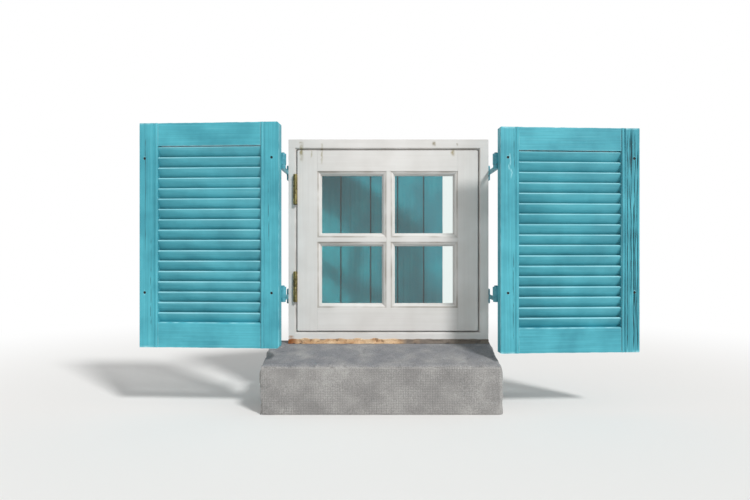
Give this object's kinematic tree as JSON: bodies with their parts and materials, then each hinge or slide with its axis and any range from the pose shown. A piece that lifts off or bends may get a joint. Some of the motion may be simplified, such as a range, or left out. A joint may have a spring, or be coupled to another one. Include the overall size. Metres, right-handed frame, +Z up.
{
  "type": "window with shutters",
  "caption": "Small casement window with glazing bars in its frame on a stone sill, with louvred outer shutters on strap hinges and a boarded inner shutter.",
  "frame": {"origin": "under the middle of the frame, in the plane of its outer face, at the sill's underside", "axes": "+X to the right seen from the street, +Y into the room, +Z up"},
  "size_m": [1.3896, 0.567, 0.798],
  "materials": {
    "hewn_stone": "tooled grey stone, worn at the edges",
    "lime_mortar": "ochre lime mortar, wiped by hand",
    "painted_pine_white": "white oil paint on pine, satin, weathered",
    "painted_wood_turquoise": "turquoise paint on softwood, satin, weathered with open grain",
    "window_glass": "clear drawn glass, slightly uneven",
    "aged_brass": "aged brass, darkened",
    "painted_steel_turquoise": "turquoise paint over forged steel",
    "zinc_steel": "dull galvanised steel"
  },
  "bodies": {
    "frame": {"stone_sill": "hewn_stone", "mortar_bed": "lime_mortar", "frame_head": "painted_pine_white", "frame_bottom": "painted_pine_white", "frame_jamb_left": "painted_pine_white", "frame_jamb_right": "painted_pine_white", "sash_hinge_upper_frame_half": "aged_brass", "sash_hinge_lower_frame_half": "aged_brass", "frame_brass_screws": "aged_brass", "pintle_left_upper": "painted_steel_turquoise", "pintle_left_lower": "painted_steel_turquoise", "pintle_right_upper": "painted_steel_turquoise", "pintle_right_lower": "painted_steel_turquoise", "pintle_screws": "zinc_steel", "inner_pintles": "zinc_steel", "catch_keep": "aged_brass"},
    "sash": {"sash_stile_left": "painted_pine_white", "sash_stile_right": "painted_pine_white", "sash_rail_top": "painted_pine_white", "sash_rail_bottom": "painted_pine_white", "glazing_bar_upright": "painted_pine_white", "glazing_bar_left": "painted_pine_white", "glazing_bar_right": "painted_pine_white", "glazing_beads": "painted_pine_white", "pane_upper_left": "window_glass", "pane_upper_right": "window_glass", "pane_lower_left": "window_glass", "pane_lower_right": "window_glass", "sash_hinge_upper_sash_half": "aged_brass", "sash_hinge_lower_sash_half": "aged_brass", "sash_brass_screws": "aged_brass", "catch_base": "aged_brass"},
    "catch": {"catch_lever": "aged_brass"},
    "left_shutter": {"left_hinge_stile": "painted_wood_turquoise", "left_free_stile": "painted_wood_turquoise", "left_top_rail": "painted_wood_turquoise", "left_bottom_rail": "painted_wood_turquoise", "left_louvre_slats": "painted_wood_turquoise", "left_strap_upper": "painted_steel_turquoise", "left_strap_lower": "painted_steel_turquoise", "left_strap_bolts": "painted_steel_turquoise"},
    "right_shutter": {"right_hinge_stile": "painted_wood_turquoise", "right_free_stile": "painted_wood_turquoise", "right_top_rail": "painted_wood_turquoise", "right_bottom_rail": "painted_wood_turquoise", "right_louvre_slats": "painted_wood_turquoise", "right_strap_upper": "painted_steel_turquoise", "right_strap_lower": "painted_steel_turquoise", "right_strap_bolts": "painted_steel_turquoise"},
    "inner_shutter": {"inner_board_1": "painted_wood_turquoise", "inner_board_2": "painted_wood_turquoise", "inner_board_3": "painted_wood_turquoise", "inner_board_4": "painted_wood_turquoise", "inner_board_5": "painted_wood_turquoise", "inner_ledge_upper": "painted_wood_turquoise", "inner_ledge_lower": "painted_wood_turquoise", "inner_straps": "zinc_steel", "inner_nails": "zinc_steel"}
  },
  "joints": [
    {"name": "sash_swing", "type": "hinge", "parent": "frame", "child": "sash", "pos_m": [-0.279, -0.0065, 0.4815], "axis": [0, 0, -1], "range_deg": [0, 88]},
    {"name": "catch_turn", "type": "hinge", "parent": "sash", "child": "catch", "pos_m": [0.232, 0.072, 0.477], "axis": [0, 1, 0], "range_deg": [-90, 0]},
    {"name": "left_shutter_swing", "type": "hinge", "parent": "frame", "child": "left_shutter", "pos_m": [-0.298, -0.133, 0.514], "axis": [0, 0, -1], "range_deg": [-184, 0]},
    {"name": "right_shutter_swing", "type": "hinge", "parent": "frame", "child": "right_shutter", "pos_m": [0.298, -0.133, 0.514], "axis": [0, 0, 1], "range_deg": [-172, 0]},
    {"name": "inner_shutter_swing", "type": "hinge", "parent": "frame", "child": "inner_shutter", "pos_m": [-0.272, 0.091, 0.476], "axis": [0, 0, 1], "range_deg": [-30, 60]}
  ]
}
